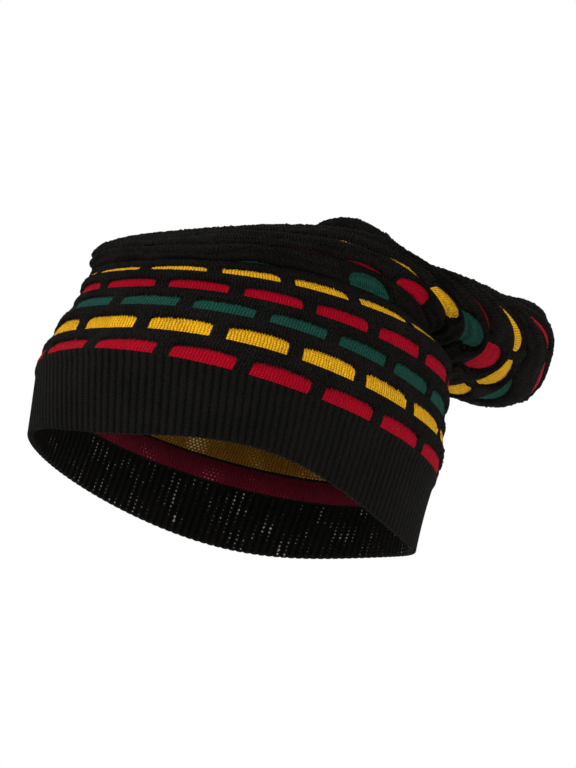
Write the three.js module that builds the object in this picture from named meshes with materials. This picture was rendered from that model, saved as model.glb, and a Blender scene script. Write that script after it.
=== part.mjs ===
// Slouchy striped knit tam, worn shape, hollow and open at the rim.
// Millimetres. +Z is up, -Y is the front of the wearer, +X the wearer's left.
// The origin is the centre of the rim opening, where the head goes in.
import * as THREE from "three";

// Rim and ribbed band
const openingLength = 198;
const openingWidth = 162;
const rimTilt = THREE.MathUtils.degToRad(17.8);
const bandHeight = 33;
const bandFlare = 1.035;
const bandWall = 4;

// Crown, measured from the band's top edge
const crownRise = 64;
const frontSetback = 40;
const slouchReach = 80;
const crownWall = 3;

// Stripes: a recessed coloured part below, a raised black cord above
const ridgeRise = 1.4;
const ridgeStart = 0.64;
const ridgeSlope = 0.12;

// Gathered tip that closes the crown
const tipWall = 3;
const tipRise = 3;

const pieceGap = 0.3;
const sides = 40;

// One row for each edge between stripes, from the band's top to the gathered tip.
// front: set back of the front point, share of frontSetback
// frontUp: height of the front point above the band's front, share of crownRise
// back: reach of the back point behind the band's back, share of slouchReach
// backUp: height of the back point above the band's back, share of crownRise
// width: share of the band's width at its top
// dome: how far the sides lie below the middle, share of crownRise
// bend: 1 is a flat ring, more keeps it high until close to the back
// square: roundness of the ring, 2 is an ellipse
// hipOut: how far the back corners stand out, share of the band's width at its top
// hipDown: how far the back corners hang down, share of crownRise
const edges = [
  { front: 0.00, frontUp: 0.00, back: 0.00, backUp: 0.00,
    width: 1.00, dome: 0.00, bend: 1.0, square: 2.0, hipOut: 0.00, hipDown: 0.00 },
  { front: 0.25, frontUp: 0.14, back: 0.06, backUp: 0.25,
    width: 0.97, dome: 0.06, bend: 1.3, square: 2.1, hipOut: 0.02, hipDown: 0.04 },
  { front: 0.40, frontUp: 0.31, back: 0.14, backUp: 0.43,
    width: 0.94, dome: 0.03, bend: 1.3, square: 2.0, hipOut: 0.01, hipDown: 0.05 },
  { front: 0.59, frontUp: 0.44, back: 0.16, backUp: 0.61,
    width: 0.90, dome: 0.02, bend: 1.3, square: 2.0, hipOut: 0.07, hipDown: 0.03 },
  { front: 0.68, frontUp: 0.56, back: 0.14, backUp: 0.80,
    width: 0.88, dome: 0.01, bend: 1.4, square: 2.0, hipOut: 0.11, hipDown: 0.02 },
  { front: 0.86, frontUp: 0.63, back: -0.01, backUp: 0.91,
    width: 0.83, dome: 0.00, bend: 1.8, square: 2.1, hipOut: 0.05, hipDown: 0.03 },
  { front: 0.98, frontUp: 0.74, back: -0.08, backUp: 1.10,
    width: 0.89, dome: 0.00, bend: 2.1, square: 2.2, hipOut: 0.00, hipDown: 0.03 },
  { front: 1.29, frontUp: 0.83, back: 0.02, backUp: 1.21,
    width: 0.93, dome: 0.00, bend: 2.1, square: 2.3, hipOut: 0.02, hipDown: 0.09 },
  { front: 1.64, frontUp: 0.86, back: 0.16, backUp: 1.12,
    width: 0.88, dome: 0.00, bend: 2.5, square: 2.4, hipOut: 0.07, hipDown: 0.12 },
  { front: 1.99, frontUp: 0.88, back: 0.29, backUp: 0.99,
    width: 0.83, dome: 0.00, bend: 2.7, square: 2.4, hipOut: 0.18, hipDown: 0.16 },
  { front: 2.31, frontUp: 0.87, back: 0.48, backUp: 0.86,
    width: 0.76, dome: 0.07, bend: 2.5, square: 2.5, hipOut: 0.24, hipDown: 0.05 },
  { front: 2.59, frontUp: 0.78, back: 0.68, backUp: 0.77,
    width: 0.71, dome: 0.09, bend: 2.4, square: 2.4, hipOut: 0.22, hipDown: -0.04 },
  { front: 2.93, frontUp: 0.81, back: 0.88, backUp: 0.74,
    width: 0.67, dome: 0.10, bend: 2.3, square: 2.4, hipOut: 0.21, hipDown: -0.05 },
  { front: 3.25, frontUp: 0.84, back: 1.02, backUp: 0.88,
    width: 0.63, dome: 0.12, bend: 1.9, square: 2.3, hipOut: 0.14, hipDown: -0.07 },
  { front: 3.56, frontUp: 0.90, back: 1.04, backUp: 1.11,
    width: 0.56, dome: 0.13, bend: 1.3, square: 2.3, hipOut: 0.08, hipDown: -0.10 },
  { front: 3.84, frontUp: 0.91, back: 0.93, backUp: 1.30,
    width: 0.48, dome: 0.13, bend: 1.1, square: 2.2, hipOut: 0.00, hipDown: 0.00 },
  { front: 4.06, frontUp: 1.02, back: 0.75, backUp: 1.36,
    width: 0.36, dome: 0.11, bend: 1.1, square: 2.0, hipOut: 0.00, hipDown: 0.00 },
  { front: 4.36, frontUp: 0.94, back: 0.58, backUp: 1.45,
    width: 0.24, dome: 0.06, bend: 1.1, square: 2.0, hipOut: 0.00, hipDown: 0.00 },
  { front: 4.45, frontUp: 0.74, back: 0.38, backUp: 1.50,
    width: 0.13, dome: 0.03, bend: 1.0, square: 2.0, hipOut: 0.00, hipDown: 0.00 },
];

const stripeColours = { red: 0xa8061f, yellow: 0xe3ae18, green: 0x18523f };
const black = 0x16151a;
const stripeOrder = ["red", "yellow", "green"];

// A point on the rim's own level, at a height along its axis, and a share of its size
function bandPoint(turn, height, lengthHalf, widthHalf) {
  const along = -Math.cos(turn) * lengthHalf;
  return new THREE.Vector3(
    Math.sin(turn) * widthHalf,
    along * Math.cos(rimTilt) + height * Math.sin(rimTilt),
    -along * Math.sin(rimTilt) + height * Math.cos(rimTilt),
  );
}

const bandTopLength = openingLength / 2 * bandFlare;
const bandTopWidth = openingWidth / 2 * bandFlare;
const bandFront = bandPoint(0, bandHeight, bandTopLength, 0);
const bandBack = bandPoint(Math.PI, bandHeight, bandTopLength, 0);

// Smooth value of one column of the table between two edges
function columnAt(name, place) {
  const last = edges.length - 1;
  const from = Math.min(Math.floor(place), last - 1);
  const t = place - from;
  const [a, b, c, d] = [from - 1, from, from + 1, from + 2].map(
    (row) => edges[Math.min(Math.max(row, 0), last)][name],
  );
  const rise = (c - a) / 2;
  const fall = (d - b) / 2;
  return b + t * rise + t * t * (3 * (c - b) - 2 * rise - fall) + t * t * t * (2 * (b - c) + rise + fall);
}

// The crown's middle surface: place counts stripes up from the band, turn goes round from the front
function crownPoint(turn, place) {
  const round = 2 / columnAt("square", place);
  const cos = Math.sign(Math.cos(turn)) * Math.abs(Math.cos(turn)) ** round;
  const sin = Math.sign(Math.sin(turn)) * Math.abs(Math.sin(turn)) ** round;
  const along = (1 - cos) / 2;
  const hip = 2.37 * (sin * along) ** 2;
  const frontY = bandFront.y + columnAt("front", place) * frontSetback;
  const frontZ = bandFront.z + columnAt("frontUp", place) * crownRise;
  const backY = bandBack.y + columnAt("back", place) * slouchReach;
  const backZ = bandBack.z + columnAt("backUp", place) * crownRise;
  const domeDrop = columnAt("dome", place) * crownRise * sin * sin;
  const hipDrop = columnAt("hipDown", place) * crownRise * hip;
  return new THREE.Vector3(
    (columnAt("width", place) + columnAt("hipOut", place) * hip) * bandTopWidth * sin,
    frontY + (backY - frontY) * along,
    frontZ + (backZ - frontZ) * along ** columnAt("bend", place) - domeDrop - hipDrop,
  );
}

// The same point moved off the surface by lift, and across the ring by climb
function crownOffset(turn, place, lift, climb = 0) {
  const step = 0.02;
  const last = edges.length - 1;
  const low = Math.max(place - step, 0);
  const high = Math.min(place + step, last);
  const up = crownPoint(turn, high).sub(crownPoint(turn, low));
  const round = crownPoint(turn + step, place).sub(crownPoint(turn - step, place));
  const outward = round.clone().cross(up).normalize();
  const across = outward.clone().cross(round).normalize();
  return crownPoint(turn, place).addScaledVector(across, climb).addScaledVector(outward, lift);
}

// Turns that space points evenly along a closed curve
function evenTurns(pointAt) {
  const fine = sides * 8;
  const points = Array.from({ length: fine + 1 }, (_, i) => pointAt(i / fine * 2 * Math.PI));
  const lengths = [0];
  for (let i = 1; i <= fine; i++) {
    lengths.push(lengths[i - 1] + points[i].distanceTo(points[i - 1]));
  }
  const turns = [];
  let at = 0;
  for (let side = 0; side < sides; side++) {
    const wanted = lengths[fine] * side / sides;
    while (lengths[at + 1] < wanted) at++;
    const share = (wanted - lengths[at]) / (lengths[at + 1] - lengths[at]);
    turns.push((at + share) / fine * 2 * Math.PI);
  }
  return turns;
}

function bandRing(inset) {
  const pointAt = (turn) => bandPoint(turn, 0, openingLength / 2 - inset, openingWidth / 2 - inset);
  return evenTurns(pointAt).map(pointAt);
}

function crownRing(place, lift, climb) {
  return evenTurns((turn) => crownPoint(turn, place)).map((turn) => crownOffset(turn, place, lift, climb));
}

// Skins between rings in turn. A closed loop of rings is a hollow band, whose last
// join is split along the other diagonal, so that it lies flat against its neighbour.
// An open row of rings is closed by a point at each end.
function geometryOf(rings, firstPoint, lastPoint) {
  const points = rings.flat();
  const faces = [];
  for (let i = 0; i < rings.length; i++) {
    const last = i === rings.length - 1;
    if (last && firstPoint) break;
    const here = i * sides;
    const next = last ? 0 : here + sides;
    for (let side = 0; side < sides; side++) {
      const beside = (side + 1) % sides;
      if (last) {
        faces.push(here + side, here + beside, next + side);
        faces.push(here + beside, next + beside, next + side);
      } else {
        faces.push(here + side, here + beside, next + beside);
        faces.push(here + side, next + beside, next + side);
      }
    }
  }
  if (firstPoint) {
    const top = (rings.length - 1) * sides;
    points.push(firstPoint, lastPoint);
    for (let side = 0; side < sides; side++) {
      const beside = (side + 1) % sides;
      faces.push(points.length - 2, beside, side);
      faces.push(points.length - 1, top + side, top + beside);
    }
  }
  const geometry = new THREE.BufferGeometry();
  geometry.setAttribute("position", new THREE.Float32BufferAttribute(points.flatMap((p) => p.toArray()), 3));
  geometry.setIndex(faces);
  geometry.computeVertexNormals();
  return geometry;
}

function addPiece(group, name, geometry, colour) {
  const material = new THREE.MeshStandardMaterial({ color: colour, roughness: 0.95, metalness: 0 });
  const mesh = new THREE.Mesh(geometry, material);
  mesh.name = name;
  group.add(mesh);
}

const group = new THREE.Group();
group.name = "rasta_tam";

// Ribbed band: a flat lower edge, and a top edge that meets the crown's
addPiece(group, "rib_band", geometryOf([
  bandRing(0),
  crownRing(0, 0),
  crownRing(0, -bandWall),
  bandRing(bandWall),
]), black);

// Stripes of the crown: up the outer wall, over the raised cord, down the inner wall
const lastEdge = edges.length - 1;
for (let stripe = 0; stripe < lastEdge; stripe++) {
  const colour = stripeOrder[stripe % stripeOrder.length];
  const number = String(stripe + 1).padStart(2, "0");
  addPiece(group, `stripe_${number}_${colour}`, geometryOf([
    crownRing(stripe, 0, pieceGap),
    crownRing(stripe + ridgeStart, 0),
    crownRing(stripe + ridgeStart + ridgeSlope, ridgeRise),
    crownRing(stripe + 1, ridgeRise),
    crownRing(stripe + 1, 0),
    crownRing(stripe + 1, -crownWall),
    crownRing(stripe, -crownWall, pieceGap),
  ]), stripeColours[colour]);
}

// Gathered tip: a low black button inside the last edge
const tipUnder = crownRing(lastEdge, -crownWall, pieceGap);
const tipOver = crownRing(lastEdge, ridgeRise, pieceGap);
const middleOf = (ring) => ring
  .reduce((sum, point) => sum.add(point), new THREE.Vector3())
  .divideScalar(ring.length);
const tipAxis = middleOf(tipOver).sub(middleOf(tipUnder)).normalize();
const tipTop = middleOf(tipOver).addScaledVector(tipAxis, tipRise);
addPiece(group, "gathered_tip", geometryOf(
  [tipUnder, tipOver],
  tipTop.clone().addScaledVector(tipAxis, -tipWall),
  tipTop,
), black);

export default group;
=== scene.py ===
# Slouchy striped knit tam, held up as a head holds it, seen from a little below its left front
import bpy
import numpy as np
from mathutils import Matrix, Vector


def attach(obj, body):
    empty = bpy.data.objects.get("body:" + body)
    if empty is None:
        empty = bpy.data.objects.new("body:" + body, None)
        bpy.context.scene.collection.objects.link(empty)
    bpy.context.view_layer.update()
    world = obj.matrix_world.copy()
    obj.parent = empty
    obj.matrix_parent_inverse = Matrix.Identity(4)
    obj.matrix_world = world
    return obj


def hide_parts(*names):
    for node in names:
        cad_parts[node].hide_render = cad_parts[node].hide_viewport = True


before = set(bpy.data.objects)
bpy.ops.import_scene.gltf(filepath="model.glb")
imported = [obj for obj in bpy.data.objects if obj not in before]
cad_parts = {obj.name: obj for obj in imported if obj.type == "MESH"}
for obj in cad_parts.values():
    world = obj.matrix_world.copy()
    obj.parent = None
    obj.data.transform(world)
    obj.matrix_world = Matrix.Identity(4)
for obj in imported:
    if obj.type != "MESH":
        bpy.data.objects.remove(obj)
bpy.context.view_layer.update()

mm = 0.001

# The cap's form in millimetres, the same numbers as its solids have
rim = {"length": 198, "width": 162, "tilt": np.radians(17.8), "bandHeight": 33, "flare": 1.035}
crown = {"rise": 64, "setback": 40, "reach": 80, "hipScale": 2.37}  # the last makes a whole hip 1
columnNames = ["front", "frontUp", "back", "backUp", "width", "dome", "bend", "square", "hipOut", "hipDown"]
edges = np.array([  # one row for each edge between stripes, from the band's top to the gathered tip
    [0.00, 0.00, 0.00, 0.00, 1.00, 0.00, 1.0, 2.0, 0.00, 0.00],
    [0.25, 0.14, 0.06, 0.25, 0.97, 0.06, 1.3, 2.1, 0.02, 0.04],
    [0.40, 0.31, 0.14, 0.43, 0.94, 0.03, 1.3, 2.0, 0.01, 0.05],
    [0.59, 0.44, 0.16, 0.61, 0.90, 0.02, 1.3, 2.0, 0.07, 0.03],
    [0.68, 0.56, 0.14, 0.80, 0.88, 0.01, 1.4, 2.0, 0.11, 0.02],
    [0.86, 0.63, -0.01, 0.91, 0.83, 0.00, 1.8, 2.1, 0.05, 0.03],
    [0.98, 0.74, -0.08, 1.10, 0.89, 0.00, 2.1, 2.2, 0.00, 0.03],
    [1.29, 0.83, 0.02, 1.21, 0.93, 0.00, 2.1, 2.3, 0.02, 0.09],
    [1.64, 0.86, 0.16, 1.12, 0.88, 0.00, 2.5, 2.4, 0.07, 0.12],
    [1.99, 0.88, 0.29, 0.99, 0.83, 0.00, 2.7, 2.4, 0.18, 0.16],
    [2.31, 0.87, 0.48, 0.86, 0.76, 0.07, 2.5, 2.5, 0.24, 0.05],
    [2.59, 0.78, 0.68, 0.77, 0.71, 0.09, 2.4, 2.4, 0.22, -0.04],
    [2.93, 0.81, 0.88, 0.74, 0.67, 0.10, 2.3, 2.4, 0.21, -0.05],
    [3.25, 0.84, 1.02, 0.88, 0.63, 0.12, 1.9, 2.3, 0.14, -0.07],
    [3.56, 0.90, 1.04, 1.11, 0.56, 0.13, 1.3, 2.3, 0.08, -0.10],
    [3.84, 0.91, 0.93, 1.30, 0.48, 0.13, 1.1, 2.2, 0.00, 0.00],
    [4.06, 1.02, 0.75, 1.36, 0.36, 0.11, 1.1, 2.0, 0.00, 0.00],
    [4.36, 0.94, 0.58, 1.45, 0.24, 0.06, 1.1, 2.0, 0.00, 0.00],
    [4.45, 0.74, 0.38, 1.50, 0.13, 0.03, 1.0, 2.0, 0.00, 0.00],
])
lastEdge = len(edges) - 1


def bandPoint(turn, height, lengthHalf, widthHalf):
    along = -np.cos(turn) * lengthHalf
    return np.stack([
        np.sin(turn) * widthHalf,
        along * np.cos(rim["tilt"]) + height * np.sin(rim["tilt"]),
        -along * np.sin(rim["tilt"]) + height * np.cos(rim["tilt"]),
    ], -1)


bandTopLength = rim["length"] / 2 * rim["flare"]
bandTopWidth = rim["width"] / 2 * rim["flare"]
bandFront = bandPoint(np.array(0.0), rim["bandHeight"], bandTopLength, 0)
bandBack = bandPoint(np.array(np.pi), rim["bandHeight"], bandTopLength, 0)


def columnAt(name, place):  # smooth value of one column between two edges
    column = edges[:, columnNames.index(name)]
    start = np.minimum(np.floor(place).astype(int), lastEdge - 1)
    t = place - start
    a, b, c, d = [column[np.clip(start + step, 0, lastEdge)] for step in (-1, 0, 1, 2)]
    rise, fall = (c - a) / 2, (d - b) / 2
    return b + t * rise + t**2 * (3 * (c - b) - 2 * rise - fall) + t**3 * (2 * (b - c) + rise + fall)


def crownPoint(turn, place):  # the outer wall: place counts stripes up, turn starts at the front
    place = np.clip(place, 0, lastEdge)
    roundness = 2 / columnAt("square", place)
    cos = np.sign(np.cos(turn)) * np.abs(np.cos(turn)) ** roundness
    sin = np.sign(np.sin(turn)) * np.abs(np.sin(turn)) ** roundness
    along = (1 - cos) / 2
    hip = crown["hipScale"] * (sin * along) ** 2  # the back corners
    frontY = bandFront[1] + columnAt("front", place) * crown["setback"]
    frontZ = bandFront[2] + columnAt("frontUp", place) * crown["rise"]
    backY = bandBack[1] + columnAt("back", place) * crown["reach"]
    backZ = bandBack[2] + columnAt("backUp", place) * crown["rise"]
    sag = columnAt("dome", place) * sin**2 + columnAt("hipDown", place) * hip
    return np.stack([
        (columnAt("width", place) + columnAt("hipOut", place) * hip) * bandTopWidth * sin,
        frontY + (backY - frontY) * along,
        frontZ + (backZ - frontZ) * along ** columnAt("bend", place) - sag * crown["rise"],
    ], -1)


def unit(v):
    return v / np.maximum(np.linalg.norm(v, axis=-1, keepdims=True), 1e-9)


fineTurns = np.linspace(0, 2 * np.pi, 1441)
nearby = 0.02  # step to the neighbours that give the way out of the fabric, in stripes and in turn


def turnsAt(pointAt, shares):  # turns at these shares of the way round a closed curve
    line = pointAt(fineTurns)
    length = np.concatenate([[0], np.cumsum(np.linalg.norm(np.diff(line, axis=0), axis=1))])
    return np.interp((shares % 1) * length[-1], length, fineTurns)


def crownGrid(places, shares, lifts):  # points in rows round the crown, each moved outward by its lift
    middle = places.mean(axis=1)
    turns = np.stack([turnsAt(lambda t: crownPoint(t, p), s) for p, s in zip(middle, shares)])
    low, high = np.clip(places - nearby, 0, lastEdge), np.clip(places + nearby, 0, lastEdge)
    up = crownPoint(turns, high) - crownPoint(turns, low)
    around = crownPoint(turns + nearby, places) - crownPoint(turns - nearby, places)
    outward = unit(np.cross(around, up))
    return crownPoint(turns, places) + outward * lifts[..., None]


def smoothWaves(seed, shares, places, sizes):  # soft unevenness, three waves of each size
    random = np.random.RandomState(seed)
    steepness, anyPhase = 1 / 40, (0, 6.28)
    total = 0 * (shares + places)
    for size in sizes:
        for wave in range(3):
            turns = random.randint(1, size + 1) * shares + random.uniform(-1, 1) * places * size * steepness
            total += np.sin(2 * np.pi * turns + random.uniform(*anyPhase)) / len(sizes) / 2
    return total


# Soft forms beyond the solids' table. at: stripes up and windows from the front. wide: the same two ways.
# out: how far out, mm
windowsRound = 16  # windows in every row
swells = {
    "hump over the gathered tip": {"at": (16.1, 0.9), "wide": (1.2, 1.2), "out": 4.0},
    "dip before the bag": {"at": (9.2, 3.45), "wide": (1.0, 0.45), "out": -3.7},
    "upper corner of the bag": {"at": (13.4, 5.3), "wide": (1.5, 0.75), "out": 5.5},
    "lower corner of the bag": {"at": (12.4, 6.9), "wide": (1.3, 0.75), "out": 5.5},
    "under the bag": {"at": (11.6, 8.6), "wide": (1.2, 0.6), "out": -4.5},
    "roll over the crease": {"at": (6.0, 4.5), "wide": (0.8, 0.9), "out": 2.2},
    "corner of the band": {"at": (0.0, 6.2), "wide": (0.8, 1.2), "out": 3.0},
}


def swellAt(places, shares):  # how far out all of them together move a place
    total = 0 * places
    for swell in swells.values():
        up = (places - swell["at"][0]) / swell["wide"][0]
        windows = shares * windowsRound - swell["at"][1] + windowsRound / 2
        around = (windows % windowsRound - windowsRound / 2) / swell["wide"][1]
        total = total + swell["out"] * np.exp(-up**2 - around**2)
    return total


def smoothStep(low, high, value):  # 0 below low and 1 above high, with a smooth rise between them
    t = np.clip((value - low) / (high - low), 0, 1)
    return t * t * (3 - 2 * t)


def ringQuads(rows, columns):  # faces between rows of points that close on themselves
    index = np.arange(rows * columns).reshape(rows, columns)
    beside = np.roll(index, -1, axis=1)
    return np.stack([index[:-1], beside[:-1], beside[1:], index[1:]], -1)


def ringStitches(wales, courses):  # stitch counts at the corners of those faces
    rows, columns = len(courses), len(wales) - 1
    counts = np.zeros((rows - 1, columns, 4, 2), np.float32)
    counts[..., [0, 3], 0] = wales[None, :-1, None]
    counts[..., [1, 2], 0] = wales[None, 1:, None]
    counts[..., [0, 1], 1] = courses[:-1, None, None]
    counts[..., [2, 3], 1] = courses[1:, None, None]
    return counts


def courseCount(points, course):  # stitches up the fabric, from the mean length between rows
    steps = np.linalg.norm(np.diff(points, axis=0), axis=-1).mean(axis=1)
    return np.concatenate([[0], np.cumsum(steps)]) / course


def meshObject(name, points, quads, stitches, material):  # one piece from millimetre points
    used, corners = np.unique(quads.reshape(-1, 4), return_inverse=True)
    corners = corners.reshape(-1)
    mesh = bpy.data.meshes.new(name)
    mesh.vertices.add(len(used))
    mesh.vertices.foreach_set("co", (points.reshape(-1, 3)[used] * mm).ravel())
    mesh.loops.add(len(corners))
    mesh.loops.foreach_set("vertex_index", corners)
    mesh.polygons.add(len(corners) // 4)
    mesh.polygons.foreach_set("loop_start", np.arange(0, len(corners), 4))
    layer = mesh.uv_layers.new(name="stitches")
    layer.data.foreach_set("uv", stitches.reshape(-1).astype(np.float32))
    mesh.update(calc_edges=True)
    mesh.validate()
    mesh.shade_smooth()
    made = bpy.data.objects.new(name, mesh)
    bpy.context.scene.collection.objects.link(made)
    mesh.materials.append(material)
    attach(made, "root")
    return made


def linear(hexColour):  # an sRGB hex colour as linear values
    srgb = [int(hexColour[i:i + 2], 16) / 255 for i in (1, 3, 5)]
    return [c / 12.92 if c <= 0.04045 else ((c + 0.055) / 1.055) ** 2.4 for c in srgb] + [1]


def addNode(tree, kind, settings=None, links=None):  # one node, its settings, and what feeds it
    made = tree.nodes.new(kind)
    for key, value in (settings or {}).items():
        if isinstance(key, str) and hasattr(made, key):
            setattr(made, key, value)
        else:
            made.inputs[key].default_value = value
    for key, source in (links or {}).items():
        tree.links.new(source if hasattr(source, "is_output") else source.outputs[0], made.inputs[key])
    return made


# Knitted acrylic yarn. Each wale is a round column of beads, one bead a stitch, painted darker between
# the columns as shade, with loose fuzz over it that speckles the colour and takes off all gloss.
# The fuzz is drawn coarser than a fibre, as coarse as shows.
grain = {"fuzz": 1.4, "wander": 0.42, "cloud": 0.06}  # specks, sways and clouds to a mm
mathNode, vectorNode, noiseNode = "ShaderNodeMath", "ShaderNodeVectorMath", "ShaderNodeTexNoise"


def knitMaterial(name, look):
    material = bpy.data.materials.new(name)
    material.use_nodes = True
    tree = material.node_tree
    tree.nodes.clear()
    place = addNode(tree, "ShaderNodeTexCoord").outputs["Object"]
    counts = addNode(tree, "ShaderNodeUVMap", {"uv_map": "stitches"})
    drift = addNode(tree, noiseNode, {"Scale": grain["wander"] / mm, "Detail": 1.0}, {"Vector": place})
    wander = addNode(tree, vectorNode, {
        "operation": "MULTIPLY_ADD", 1: (look["wander"], look["wander"], 0),
    }, {0: drift.outputs[1], 2: counts})  # no stitch sits quite true
    stitch = addNode(tree, "ShaderNodeSeparateXYZ", links={0: wander})
    wale, course = stitch.outputs[0], stitch.outputs[1]

    # relief: 0 on a wale's middle and 0.5 between two, then a rounded column cut into slanting beads
    across = addNode(tree, mathNode, {"operation": "FRACT"}, {0: wale})
    centred = addNode(tree, mathNode, {"operation": "SUBTRACT", 1: 0.5}, {0: across})
    side = addNode(tree, mathNode, {"operation": "ABSOLUTE"}, {0: centred})
    slope = addNode(tree, mathNode, {"operation": "MULTIPLY", 1: -2 * look["slant"]}, {0: side})
    slanted = addNode(tree, mathNode, {"operation": "ADD"}, {0: course, 1: slope})
    turned = addNode(tree, mathNode, {"operation": "MULTIPLY", 1: np.pi}, {0: slanted})
    wave = addNode(tree, mathNode, {"operation": "SINE"}, {0: turned})
    bead = addNode(tree, mathNode, {"operation": "ABSOLUTE"}, {0: wave})
    squared = addNode(tree, mathNode, {"operation": "MULTIPLY"}, {0: side, 1: side})
    column = addNode(tree, mathNode, {"operation": "MULTIPLY_ADD", 1: -4.0, 2: 1.0}, {0: squared})
    beads = addNode(tree, mathNode, {
        "operation": "MULTIPLY_ADD", 1: look["beads"], 2: 1 - look["beads"]}, {0: bead})
    relief = addNode(tree, mathNode, {"operation": "MULTIPLY"}, {0: column, 1: beads})

    # fuzz stands off the relief, and speckles its colour. A slow cloud shades whole stretches.
    fuzz = addNode(tree, noiseNode, {
        "Scale": grain["fuzz"] / mm, "Detail": 2.0, "Roughness": 0.7}, {"Vector": place})
    cloud = addNode(tree, noiseNode, {"Scale": grain["cloud"] / mm, "Detail": 2.0}, {"Vector": place})
    height = addNode(tree, mathNode, {
        "operation": "MULTIPLY_ADD", 1: look["fuzzHeight"]}, {0: fuzz, 2: relief})
    bump = addNode(tree, "ShaderNodeBump", {
        "Strength": look["bump"], "Distance": look["depth"] * mm}, {"Height": height})
    speckle = addNode(tree, mathNode, {
        "operation": "MULTIPLY_ADD", 1: look["speckle"], 2: -look["speckle"] / 2}, {0: fuzz})
    shade = addNode(tree, mathNode, {
        "operation": "MULTIPLY_ADD", 1: look["cloud"], 2: -look["cloud"] / 2}, {0: cloud})
    # painted shade: the colour falls to the darker colour where the relief is low, between wales and beads;
    # speckle and cloud add random tone
    tone = addNode(tree, mathNode, {
        "operation": "MULTIPLY_ADD", 1: look["contrast"]}, {0: relief, 2: speckle})
    tone = addNode(tree, mathNode, {"operation": "ADD", "use_clamp": True}, {0: tone, 1: shade})
    colour = addNode(tree, "ShaderNodeMix", {
        "data_type": "RGBA", 6: linear(look["shadeAndSpeck"]), 7: linear(look["yarn"])}, {0: tone}).outputs[2]

    if "holes" in look:  # painted light between stretched stitches: a round dot in each cell of some patches
        hole = look["holes"]
        row = addNode(tree, mathNode, {"operation": "MULTIPLY", 1: hole["rows"]}, {0: course})
        rowStart = addNode(tree, mathNode, {"operation": "FLOOR"}, {0: row})
        along = addNode(tree, mathNode, {"operation": "MULTIPLY", 1: hole["columns"]}, {0: wale})
        along = addNode(tree, mathNode, {
            "operation": "MULTIPLY_ADD", 1: hole["stagger"]}, {0: rowStart, 2: along})
        x = addNode(tree, mathNode, {"operation": "FRACT"}, {0: along})
        y = addNode(tree, mathNode, {"operation": "FRACT"}, {0: row})
        spot = addNode(tree, "ShaderNodeCombineXYZ", links={0: x, 1: y})
        spot = addNode(tree, vectorNode, {"operation": "SUBTRACT", 1: (0.5, 0.5, 0)}, {0: spot})
        spot = addNode(tree, vectorNode, {"operation": "MULTIPLY", 1: (hole["narrow"], 1, 1)}, {0: spot})
        apart = addNode(tree, vectorNode, {"operation": "LENGTH"}, {0: spot}).outputs[1]
        patch = addNode(tree, noiseNode, {"Scale": hole["patch"] / mm, "Detail": 3.0}, {"Vector": place})
        size = addNode(tree, mathNode, {
            "operation": "MULTIPLY_ADD", 1: hole["growth"], 2: -hole["growth"] * hole["level"]}, {0: patch})
        gap = addNode(tree, mathNode, {"operation": "SUBTRACT", "use_clamp": True}, {0: size, 1: apart})
        gap = addNode(tree, mathNode, {
            "operation": "MULTIPLY", "use_clamp": True, 1: hole["crisp"]}, {0: gap})
        colour = addNode(tree, "ShaderNodeMix", {
            "data_type": "RGBA", 7: linear(hole["light"])}, {0: gap, 6: colour}).outputs[2]

    shader = addNode(tree, "ShaderNodeBsdfPrincipled", {
        "Roughness": 0.9, "Specular IOR Level": look["specular"], "IOR": 1.47,
        "Sheen Weight": look["sheen"], "Sheen Roughness": 0.5, "Sheen Tint": linear(look["sheenTint"]),
    }, {"Base Color": colour, "Normal": bump})
    addNode(tree, "ShaderNodeOutputMaterial", links={0: shader})
    return material


# slant: of a stitch's two legs. beads: how deep one stitch is cut from the next. wander: in stitches.
# depth: of the relief, mm. contrast, speckle and cloud: how strongly each darkens and lightens;
# contrast sets how the relief paints shade between stitches, speckle and cloud vary the tone at random.
yarn = {
    "slant": 0.35, "beads": 0.6, "wander": 0.9, "fuzzHeight": 0.9, "bump": 1.0, "depth": 0.5,
    "contrast": 1.15, "speckle": 0.9, "cloud": 0.6, "specular": 0.05, "sheen": 0.02, "sheenTint": "#FFFFFF",
}
# spun acrylic dyed black: matt, with painted shade leaving almost no light between the stitches, grey where
# single fibres stand off it
blackLook = yarn | {
    "yarn": "#24221F", "shadeAndSpeck": "#050505", "speckle": 2.0, "contrast": 0.6, "depth": 0.8,
    "specular": 0.03, "sheen": 0.012, "sheenTint": "#B5B2A8",
}
blackYarn = knitMaterial("knitted black acrylic yarn", blackLook)
# the band is the same yarn pulled tight, so its columns of stitches stand straight
bandLook = blackLook | {"yarn": "#161513", "wander": 0.3, "beads": 0.4, "contrast": 0.9, "speckle": 1.8}
bandYarn = knitMaterial("knitted black acrylic rib", bandLook)
# the colours are the same yarn, brighter along each column of stitches than between two, where the darker
# colour is painted shade
redLook = yarn | {"yarn": "#AC0420", "shadeAndSpeck": "#6A0212", "sheenTint": "#FF8090"}
yellowLook = yarn | {"yarn": "#F2B61C", "shadeAndSpeck": "#8A5A04", "sheenTint": "#FFE9A0"}
greenLook = yarn | {"yarn": "#194C40", "shadeAndSpeck": "#08221C", "sheenTint": "#9AD8C8"}
redYarn = knitMaterial("knitted red acrylic yarn", redLook)
yellowYarn = knitMaterial("knitted yellow acrylic yarn", yellowLook)
greenYarn = knitMaterial("knitted green acrylic yarn", greenLook)
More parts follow.
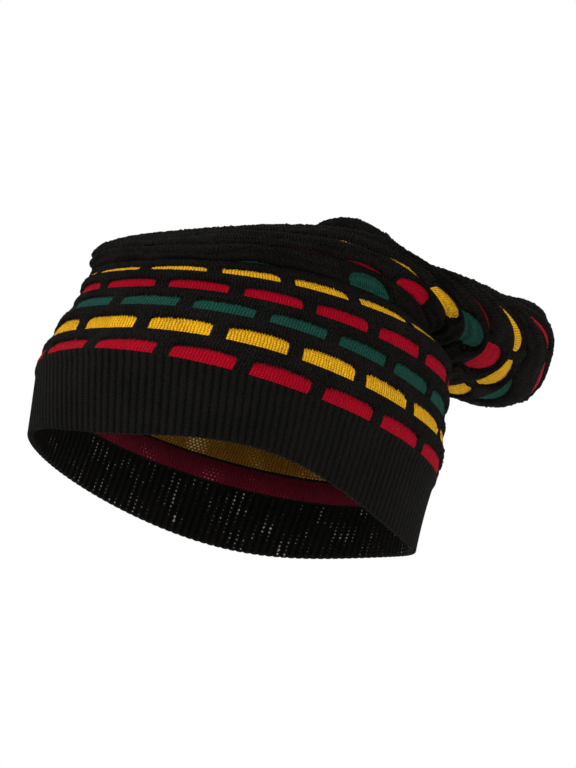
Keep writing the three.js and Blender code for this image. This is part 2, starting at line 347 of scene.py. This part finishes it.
# inside, the yarn lies in shade, painted as darker red and yellow, and the stretched rib and lining let
# dots of light through, painted as pale dots.
# rows and columns: cells to a stitch. patch: patches with dots to a mm. level: more means fewer dots.
liningHoles = {
    "rows": 0.7, "columns": 0.7, "stagger": 0.5, "narrow": 1.2, "patch": 0.06, "growth": 1.6, "crisp": 6.0}
bandHoles = liningHoles | {
    "light": "#9A978E", "level": 0.46, "rows": 0.6, "columns": 1.0, "stagger": 0.0,
    "narrow": 2.2, "patch": 0.11}
redHoles = liningHoles | {"light": "#C0707C", "level": 0.50}
yellowHoles = liningHoles | {"light": "#E0C890", "level": 0.40}
# inner sides: painted light dots on all three, and painted shade in the darker red and yellow
bandInsideYarn = knitMaterial("knitted black acrylic rib, inner side, painted light dots", bandLook | {"holes": bandHoles})
redShadedInsideYarn = knitMaterial("knitted red acrylic yarn, inner side", yarn | {
    "yarn": "#6A1022", "shadeAndSpeck": "#3A0812", "holes": redHoles})
yellowShadedInsideYarn = knitMaterial("knitted yellow acrylic yarn, inner side", yarn | {
    "yarn": "#875A14", "shadeAndSpeck": "#3E2806", "holes": yellowHoles})
print("yarns made")

# Crown: coloured windows between black bars, under a black cord in every row
knit = {
    "wales": 24,           # stitch columns from bar to bar, about 1.5 mm each
    "barWales": 5,
    "columnsPerWale": 2,
    "course": 1.1,         # height of a stitch, mm
    "stretch": 1.0,        # windows that the bag's left side is stretched by
    "stretchMiddle": 5.6,  # where that is, in windows from the front
    "stretchRows": ((5, 8.5), (13, 16)),  # where it grows and fades, in stripes up
    "windowRows": 8,       # rows of faces up a window, and up a cord
    "cordRows": 9,
    "rowGap": 0.02,        # where a window starts above its row's edge, share of a row
    "foot": 0.55,          # how far out a window's foot lies, mm, then its head, then the first row
    "head": 0.10,
    "firstRow": 0.5,
    "windowRound": 0.8,    # roundness of a section: under 1 it is squarer than a half wave
    "barRound": 0.5,
    "cordRound": 0.45,
    "skew": 1.15,          # over 1 moves a window's highest point on round the cap
    "toothed": 0.07,       # depth of the points along its top edge, share of a row
    "toothStart": 0.6,     # how far up the window they start
    "strap": 0.75,         # how far a bar's middle stands out beyond its sides, mm, then the sides
    "strapSide": 0.1,
    "cordFoot": 0.3,       # how far out a cord's edges lie, mm
    "cordArc": (0.12, 0.92),  # the stretch of a half turn that a cord's section follows
    "waleDeep": 0.16,      # groove between two wales, mm
    "slit": 0.24,          # most that shows of a window that is folded shut, share of a row
    "leastSlit": 0.01,
    "rarity": 1.6,         # more hides more of the shut windows
    "shutDeep": 0.2,       # how far a shut window sinks in, mm
    "shutFade": 0.6,       # over how many windows the folds begin, on each side
    "foldRise": 1.8,       # of the two folds in each row there, mm
    "foldRound": 0.7,
    "foldLevel": 0.6,      # share of the folds' rise that lies inside the fabric's form
    "foldWander": 0.12,    # how far they stray up and down, share of a row
    "foldLength": 17.0,    # over how many columns
    "loose": 0.2,          # how far a black stitch may stand out of line, mm
    "looseInWindows": 0.4,  # share of that in the windows
    "uneven": 0.3,         # slow unevenness all over, mm
}
rowLooks = [  # bar: where one stands, in windows. peak and corner: a window's height, shares of the row
    # arch: how round its top is. puff and cord: how far a window and the cord above it stand out, mm
    # open: windows are folded shut outside this reach of windows from the front, on both sides
    {"bar": 0.17, "peak": 0.60, "corner": 0.50, "arch": 0.28, "puff": 0.5, "cord": 1.8, "open": (0, 9)},
    {"bar": 0.69, "peak": 0.60, "corner": 0.50, "arch": 0.28, "puff": 0.5, "cord": 1.8, "open": (0, 9)},
    {"bar": 0.15, "peak": 0.58, "corner": 0.48, "arch": 0.28, "puff": 0.5, "cord": 1.9, "open": (0, 9)},
    {"bar": 0.69, "peak": 0.55, "corner": 0.44, "arch": 0.28, "puff": 0.4, "cord": 2.0, "open": (0, 9)},
    {"bar": 0.38, "peak": 0.50, "corner": 0.36, "arch": 0.35, "puff": 0.3, "cord": 2.0, "open": (0, 9)},
    {"bar": 0.36, "peak": 0.80, "corner": 0.40, "arch": 0.50, "puff": 0.6, "cord": 2.0, "open": (3.4, 4.4)},
    {"bar": 0.32, "peak": 0.84, "corner": 0.46, "arch": 0.50, "puff": 0.8, "cord": 2.0, "open": (4.1, 5.3)},
    {"bar": 0.79, "peak": 0.86, "corner": 0.46, "arch": 0.50, "puff": 0.8, "cord": 2.0, "open": (4.8, 5.8)},
    {"bar": 0.19, "peak": 0.86, "corner": 0.46, "arch": 0.50, "puff": 0.8, "cord": 2.0, "open": (5.2, 6.2)},
    {"bar": 0.54, "peak": 0.80, "corner": 0.38, "arch": 0.50, "puff": 0.8, "cord": 2.2, "open": (5.5, 6.6)},
    {"bar": 0.73, "peak": 0.84, "corner": 0.36, "arch": 0.50, "puff": 0.8, "cord": 2.2, "open": (4.7, 9)},
    {"bar": 0.17, "peak": 0.46, "corner": 0.16, "arch": 0.50, "puff": 0.4, "cord": 2.4, "open": (5.9, 9)},
    {"bar": 0.70, "peak": 0.50, "corner": 0.18, "arch": 0.50, "puff": 0.4, "cord": 2.4, "open": (4.8, 9)},
    {"bar": 0.15, "peak": 0.50, "corner": 0.22, "arch": 0.45, "puff": 0.3, "cord": 2.2, "open": (4.0, 9)},
    {"bar": 0.65, "peak": 0.54, "corner": 0.26, "arch": 0.45, "puff": 0.5, "cord": 1.8, "open": (0, 9)},
    {"bar": 0.15, "peak": 0.54, "corner": 0.26, "arch": 0.45, "puff": 0.5, "cord": 1.6, "open": (0, 9)},
    {"bar": 0.65, "peak": 0.54, "corner": 0.26, "arch": 0.45, "puff": 0.5, "cord": 1.6, "open": (0, 9)},
    {"bar": 0.15, "peak": 0.54, "corner": 0.26, "arch": 0.45, "puff": 0.5, "cord": 1.6, "open": (0, 9)},
]
perWindow = knit["wales"] * knit["columnsPerWale"]
columns = windowsRound * perWindow
column = np.arange(columns)
barHalf = knit["barWales"] * knit["columnsPerWale"] // 2
grooves = (column % knit["columnsPerWale"] == 0).astype(float)


def barColumns(row):  # columns from the nearest bar's middle
    start = int(round(rowLooks[row]["bar"] * knit["wales"])) * knit["columnsPerWale"]
    return (column - start + perWindow // 2) % perWindow - perWindow // 2


def shutness(row, fade):  # 1 where a row's windows are folded shut, 0 where they are open
    tiny = 0.001  # keeps a step without fade from dividing by nothing
    middle = (column - barColumns(row) % perWindow + perWindow / 2) / perWindow
    windows = middle if fade == 0 else column / perWindow  # without fade a whole window is open or shut
    fromFront = np.abs((windows + windowsRound / 2) % windowsRound - windowsRound / 2)
    first, last = rowLooks[row]["open"]
    opened = smoothStep(first - fade - tiny, first + fade, fromFront) * (first > 0) + (first == 0)
    return 1 - opened * smoothStep(fade + tiny, -fade, fromFront - last)


# how much of each shut window shows: most show little. The seed is one with slivers over the front.
peeks = np.random.RandomState(1516).uniform(0, 1, (len(rowLooks), windowsRound)) ** knit["rarity"]


def windowTop(row):  # the arched upper edge of a row's windows
    look = rowLooks[row]
    across = (barColumns(row) % perWindow - barHalf) / (perWindow - 2 * barHalf)
    arch = np.clip(np.sin(np.pi * np.clip(across, 0, 1) ** knit["skew"]), 0, 1)
    height = look["corner"] + (look["peak"] - look["corner"]) * arch ** look["arch"]
    number = (column - barColumns(row) % perWindow) // perWindow
    slit = knit["slit"] * peeks[row, number] * arch + knit["leastSlit"]
    return height + (slit - height) * shutness(row, 0)


def shareOf(wale, place):  # where a column of stitches stands, as a share of the way round
    grows, fades = knit["stretchRows"]
    pull = knit["stretch"] * smoothStep(*grows, place) * (1 - smoothStep(*fades, place))
    return (wale + pull * np.sin(2 * np.pi * (wale - knit["stretchMiddle"]) / windowsRound)) / windowsRound


rowGap = knit["rowGap"]
places, lifts = [np.full(columns, rowGap)], [np.full(columns, knit["firstRow"])]
colouredFaces, faceRows = [], []
for row, look in enumerate(rowLooks):
    face = barColumns(row)
    bar = np.abs(face)
    isBar = bar < barHalf
    colouredFace = (face >= barHalf) | (face < -barHalf)
    top = windowTop(row)
    shut = shutness(row, 0)
    for step in range(1, knit["windowRows"] + 1):
        share = step / knit["windowRows"]
        tooth = -knit["toothed"] * grooves * smoothStep(knit["toothStart"], 1.0, share)
        swollen = np.sin(np.pi * share) ** knit["windowRound"]
        puff = look["puff"] * swollen * (1 - shut) - knit["shutDeep"] * shut
        level = knit["foot"] + (knit["head"] - knit["foot"]) * share + puff - knit["waleDeep"] * grooves
        roundBar = np.cos(np.pi / 2 * np.clip(bar / barHalf, 0, 1)) ** knit["barRound"]
        strap = knit["strap"] * roundBar + knit["strapSide"]
        places.append(row + rowGap + (top - rowGap) * share + tooth * ~isBar)
        lifts.append(np.where(isBar, strap + (look["cord"] - strap) * share**3, level))
        colouredFaces.append(colouredFace)
        faceRows.append(row)
    for step in range(1, knit["cordRows"] + 1):
        share = step / knit["cordRows"]
        arcStart, arcEnd = knit["cordArc"]
        section = np.sin(np.pi * (arcStart + (arcEnd - arcStart) * share)) ** knit["cordRound"]
        level = knit["cordFoot"] + (look["cord"] - knit["cordFoot"]) * section
        stray = knit["foldWander"] * np.sin(column / knit["foldLength"] + row)
        folds = np.abs(np.sin(2 * np.pi * (share + stray))) ** knit["foldRound"] - knit["foldLevel"]
        folds = knit["foldRise"] * folds * shutness(row, knit["shutFade"])
        places.append(row + top + (1 + rowGap - top) * share)
        lifts.append(level - 0.5 * knit["waleDeep"] * grooves + folds)
        colouredFaces.append(np.zeros(columns, bool))
        faceRows.append(row)
places, lifts = np.clip(np.stack(places), 0, lastEdge), np.stack(lifts)
faceRows = np.array(faceRows)
coloured = np.stack(colouredFaces)
shares = shareOf(column / perWindow, places)
loose = np.random.RandomState(7).normal(0, 1, lifts.shape)  # each stitch stands a little in or out
lifts[:-1] += knit["loose"] * loose[:-1] * np.where(coloured, knit["looseInWindows"], 1.0)
lifts = lifts + knit["uneven"] * smoothWaves(5, shares, places, (5, 11, 23)) + swellAt(places, shares)
points = crownGrid(places, shares, lifts)
quads = ringQuads(len(places), columns)
wales = np.arange(columns + 1) / knit["columnsPerWale"]
stitches = ringStitches(wales, courseCount(points, knit["course"]))
print("crown surface", len(places), "rows of", columns)

# Ribbed band: a rib and a groove every 3.7 mm, folded over at the rim into its inner side
band = {
    "ribs": 156, "columnsPerRib": 6, "ribHeight": 0.36, "innerRib": 0.35, "ribRound": 0.6,
    "wall": 2.6, "outerRows": 34, "innerRows": 16,
    "rimTurn": (36, 72, 108, 144),  # rows round under the rim, degrees
    "rimRise": 0.5, "rimRib": 0.45,  # how far its round goes down, mm, and each rib beyond that
    "topPlace": 0.05,  # where the band meets the crown, in stripes up
    "lean": -0.006,    # how far a rib leans over the band's height, share of the way round
    "topRoll": 0.8,    # of the fold that stands out at its top, mm, where it is, and how wide
    "rollPlace": 0.95, "rollWidth": 0.06,
    "ribFade": 0.6, "fadePower": 8,  # how much of a rib is lost towards the top, and how late
    "waveFade": 1.5,   # how fast the wave dies out above the rim
    "wave": [  # how the soft rim waves, mm: times round, rise along its axis (cos, sin), out (cos, sin)
        (1, 1.15, 0.17, -3.0, -2.1),
        (2, -0.43, -0.93, -0.1, -1.9),
        (3, -3.53, -0.27, -0.87, 1.42),
        (4, 0.35, -0.98, -0.3, -0.2),
    ],
}
bandColumns = band["ribs"] * band["columnsPerRib"]
ribs = np.arange(bandColumns + 1) / band["columnsPerRib"]
ribBump = np.abs(np.sin(np.pi * ribs[:-1])) ** band["ribRound"]
rimAxis = np.array([0, np.sin(rim["tilt"]), np.cos(rim["tilt"])])
bandShares = ribs[:-1] / band["ribs"]


def rimPoint(turn):  # the rim without its wave
    return bandPoint(turn, 0, rim["length"] / 2, rim["width"] / 2)


def rimWave(turn, first):  # the wave's rise where first is 1, and how far out it goes where it is 3
    parts = [w[first] * np.cos(w[0] * turn) + w[first + 1] * np.sin(w[0] * turn) for w in band["wave"]]
    return np.sum(parts, axis=0)[:, None]


def bandRow(shares, climb, lift):  # climb goes from 0 at the rim to 1 at the crown's first edge
    turns = turnsAt(rimPoint, shares)
    low = rimPoint(turns)
    edge = np.full((1, len(shares)), band["topPlace"])
    top = crownGrid(edge, shares[None], swellAt(edge, shares[None]))[0]
    here = low + (top - low) * climb
    around = np.roll(here, -1, axis=0) - np.roll(here, 1, axis=0)
    outward = unit(np.cross(around, top - low))
    soft = (1 - climb) ** band["waveFade"]
    out = rimWave(turns, 3) * soft + np.reshape(lift, (-1, 1))
    return here + rimAxis * rimWave(turns, 1) * soft + outward * out


bandRows = []
for climb in np.linspace(1, 0, band["innerRows"]):
    lift = -band["wall"] - band["innerRib"] * ribBump
    bandRows.append(bandRow(bandShares + band["lean"] * climb, climb, lift))
for turned in np.radians(band["rimTurn"]):
    lift = -band["wall"] / 2 * (1 + np.cos(turned)) - band["innerRib"] * np.cos(turned) * ribBump
    under = np.sin(turned) * (band["rimRise"] + band["rimRib"] * ribBump)
    bandRows.append(bandRow(bandShares, 0.0, lift) - rimAxis * under[:, None])
for climb in np.linspace(0, 1, band["outerRows"]):
    roll = band["topRoll"] * np.exp(-((climb - band["rollPlace"]) / band["rollWidth"]) ** 2)
    lift = roll + band["ribHeight"] * (1 - band["ribFade"] * climb ** band["fadePower"]) * ribBump
    bandRows.append(bandRow(bandShares + band["lean"] * climb, climb, lift))
bandPoints = np.stack(bandRows)
bandQuads = ringQuads(len(bandRows), bandColumns)
bandStitches = ringStitches(ribs, courseCount(bandPoints, knit["course"]))
isInner = np.arange(len(bandRows) - 1) < band["innerRows"] + 1  # with the start of the turn under the rim
bandSides = {"rib_band_outside": (~isInner, bandYarn), "rib_band_inside": (isInner, bandInsideYarn)}
for name, (chosen, sideYarn) in bandSides.items():
    piece = meshObject(name, bandPoints, bandQuads[chosen], bandStitches[chosen], sideYarn)
    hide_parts("rib_band")
print("band made")

# The crown's inner side: stripes run on behind the bars, with a thin dark seam between two
inner = {
    "columns": 384, "levels": [0.0, 0.08, 0.3, 0.55, 0.8],  # rows of points up a stripe, shares of its row
    "lift": -2.7,    # how far it lies inside the crown's outer form, mm
    "seam": 0.5,     # how far the seams lie outside that, mm, then how far the stripes swell inwards
    "puff": 0.5,
    "belowBand": 0.5,  # how much further in it lies behind the band, mm
    "shift": -0.72,  # each stripe hangs lower inside than its windows outside, shares of a row
    "lowest": 0.74,  # where the first one starts on the band, share of its height
}
innerLevels = np.tile(inner["levels"], lastEdge)
innerRows = np.repeat(np.arange(lastEdge), len(inner["levels"]))
innerPlaces = np.append(innerRows + innerLevels + inner["shift"], lastEdge)
innerPlaces = innerPlaces[:, None] + np.zeros(inner["columns"])
isSeam = innerLevels == 0
innerPuff = np.where(isSeam, inner["seam"], -inner["puff"] * np.sin(np.pi * innerLevels))
innerLift = np.append(innerPuff + inner["lift"], inner["lift"])
innerWindows = np.arange(inner["columns"]) / inner["columns"] * windowsRound
innerShares = shareOf(innerWindows, innerPlaces)
innerPoints = crownGrid(innerPlaces, innerShares, innerLift[:, None] + swellAt(innerPlaces, innerShares))
for row in np.flatnonzero(innerPlaces[:, 0] < 0):
    climb = 1 + innerPlaces[row, 0] / inner["shift"] * (inner["lowest"] - 1)
    innerPoints[row] = bandRow(innerShares[row], climb, innerLift[row] - inner["belowBand"])
innerQuads = ringQuads(len(innerPlaces), inner["columns"])[..., ::-1]
innerWales = np.arange(inner["columns"] + 1) * windowsRound * knit["wales"] / inner["columns"]
innerStitches = ringStitches(innerWales, courseCount(innerPoints, knit["course"]))[..., ::-1, :]

# each stripe's outer yarn and inner yarn; the red and yellow inner yarns carry painted shade and painted
# light dots
stripes = {
    "red": (redYarn, redShadedInsideYarn),
    "yellow": (yellowYarn, yellowShadedInsideYarn),
    "green": (greenYarn, greenYarn),
}
for number, (name, (outerYarn, innerYarn)) in enumerate(stripes.items()):
    nodes = [f"stripe_{row + 1:02d}_{name}" for row in range(number, lastEdge, 3)]
    chosen = coloured & (faceRows % 3 == number)[:, None]
    windows = meshObject(name + "_windows", points, quads[chosen], stitches[chosen], outerYarn)
    chosen = (innerRows % 3 == number) & ~isSeam
    lining = meshObject(name + "_inside", innerPoints, innerQuads[chosen], innerStitches[chosen], innerYarn)
    for piece in (windows, lining):
        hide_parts(*nodes)
seams = meshObject("inner_seams", innerPoints, innerQuads[isSeam], innerStitches[isSeam], blackYarn)
for name, low, high in (("black_cords_lower", 0, 9), ("black_cords_upper", 9, lastEdge)):
    chosen = ~coloured & ((faceRows >= low) & (faceRows < high))[:, None]
    net = meshObject(name, points, quads[chosen], stitches[chosen], blackYarn)
print("crown pieces made")

# Gathered tip: pleats drawn in to a small button
tip = {
    "columns": 240, "columnsPerWale": 5, "pleats": 24, "pleatHeight": 0.8, "pleatReach": 1.15,
    "rows": (0.0, 0.12, 0.25, 0.4, 0.55, 0.68, 0.8, 0.88, 0.94, 0.99),  # shares of the way in
    "rings": (1.2, -2.6),  # where its edge stands off the crown's outer form, mm, outside and inside
    "rise": 3.0, "domeShape": 1.6, "buttonStart": 0.78, "buttonRise": 1.6,
}
tipShares = np.arange(tip["columns"]) / tip["columns"]
tipPlaces = np.full((1, tip["columns"]), float(lastEdge))
tipGrids = [crownGrid(tipPlaces, tipShares[None], lift + 0 * tipPlaces) for lift in tip["rings"]]
outerRing, innerRing = tipGrids[0][0], tipGrids[1][0]
tipMiddle = outerRing.mean(axis=0)
tipAxis = unit(tipMiddle - innerRing.mean(axis=0))
pleat = np.cos(2 * np.pi * tip["pleats"] * tipShares)
tipRows = []
for share in tip["rows"]:
    inButton = max(share - tip["buttonStart"], 0) / (1 - tip["buttonStart"])
    button = tip["buttonRise"] * np.sin(np.pi / 2 * inButton)
    lift = tip["rise"] * share * (tip["domeShape"] - share) + button - tip["rings"][0]
    folds = tip["pleatHeight"] * pleat * np.sin(np.pi * min(share * tip["pleatReach"], 1))
    tipRows.append(outerRing + (tipMiddle - outerRing) * share + tipAxis * (lift + folds)[:, None])
tipPoints = np.stack(tipRows)
tipWales = np.arange(tip["columns"] + 1) / tip["columnsPerWale"]
tipStitches = ringStitches(tipWales, courseCount(tipPoints, knit["course"]))
tipQuads = ringQuads(len(tipRows), tip["columns"])
gatheredTip = meshObject("gathered_tip_top", tipPoints, tipQuads, tipStitches, blackYarn)
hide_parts("gathered_tip")
print("tip made")

# Camera: the photograph's angle, with a long lens. The rim's centre stands where it does there.
view = {"azimuth": np.radians(45), "elevation": np.radians(-2.8), "millimetresPerPixel": 0.4626,
        "middle": (288, 384), "rimCentre": (218.9, 492.0), "longSide": 768, "lens": 200, "sensor": 36}
toward = Vector((np.sin(view["azimuth"]) * np.cos(view["elevation"]),
                 -np.cos(view["azimuth"]) * np.cos(view["elevation"]), np.sin(view["elevation"])))
right = Vector((np.cos(view["azimuth"]), np.sin(view["azimuth"]), 0))
up = toward.cross(right)
scale = view["millimetresPerPixel"] * mm
target = (right * (view["middle"][0] - view["rimCentre"][0]) * scale
          - up * (view["middle"][1] - view["rimCentre"][1]) * scale)
cameraData = bpy.data.cameras.new("camera")
cameraData.lens = view["lens"]
cameraData.sensor_width = view["sensor"]
cameraData.sensor_fit = "AUTO"
cameraData.clip_end = 100
camera = bpy.data.objects.new("camera", cameraData)
bpy.context.scene.collection.objects.link(camera)
distance = view["lens"] / view["sensor"] * view["longSide"] * scale
facing = Matrix((right, up, toward)).transposed().to_4x4()
camera.matrix_world = Matrix.Translation(target + toward * distance) @ facing
bpy.context.scene.camera = camera

# Plain pale floor, well below, as the cap is held up
floorLook = {"half": 1.6, "depth": 0.45}  # metres
half, depth = floorLook["half"], floorLook["depth"]
floorMesh = bpy.data.meshes.new("floor")
corners = [(-half, -half, -depth), (half, -half, -depth), (half, half, -depth), (-half, half, -depth)]
floorMesh.from_pydata(corners, [], [(0, 1, 2, 3)])
floor = bpy.data.objects.new("floor", floorMesh)
bpy.context.scene.collection.objects.link(floor)
paper = bpy.data.materials.new("matt white paper")  # bright and even, with no gloss
paper.use_nodes = True
paper.node_tree.nodes["Principled BSDF"].inputs["Base Color"].default_value = linear("#F4F4F2")
paper.node_tree.nodes["Principled BSDF"].inputs["Roughness"].default_value = 0.9
floorMesh.materials.append(paper)

# Soft studio light: white all round, with a large lamp above the front and a fill at the right
world = bpy.data.worlds.new("studio")
bpy.context.scene.world = world
world.use_nodes = True
world.node_tree.nodes["Background"].inputs["Color"].default_value = (1, 1, 1, 1)
world.node_tree.nodes["Background"].inputs["Strength"].default_value = 1.0
bpy.context.scene.view_settings.view_transform = "Standard"
lamps = [  # name, place, size in metres, power in watts
    ("key", (-0.5, -1.3, 1.3), 0.9, 16),
    ("fill", (1.5, -0.9, 0.3), 1.0, 4),
]
aim = Vector((0, 0.03, 0.05))
for name, spot, size, power in lamps:
    lamp = bpy.data.lights.new(name, "AREA")
    lamp.size = size
    lamp.energy = power
    made = bpy.data.objects.new(name, lamp)
    bpy.context.scene.collection.objects.link(made)
    made.location = spot
    made.rotation_euler = (aim - Vector(spot)).to_track_quat("-Z", "Y").to_euler()
print("camera, floor and light set")
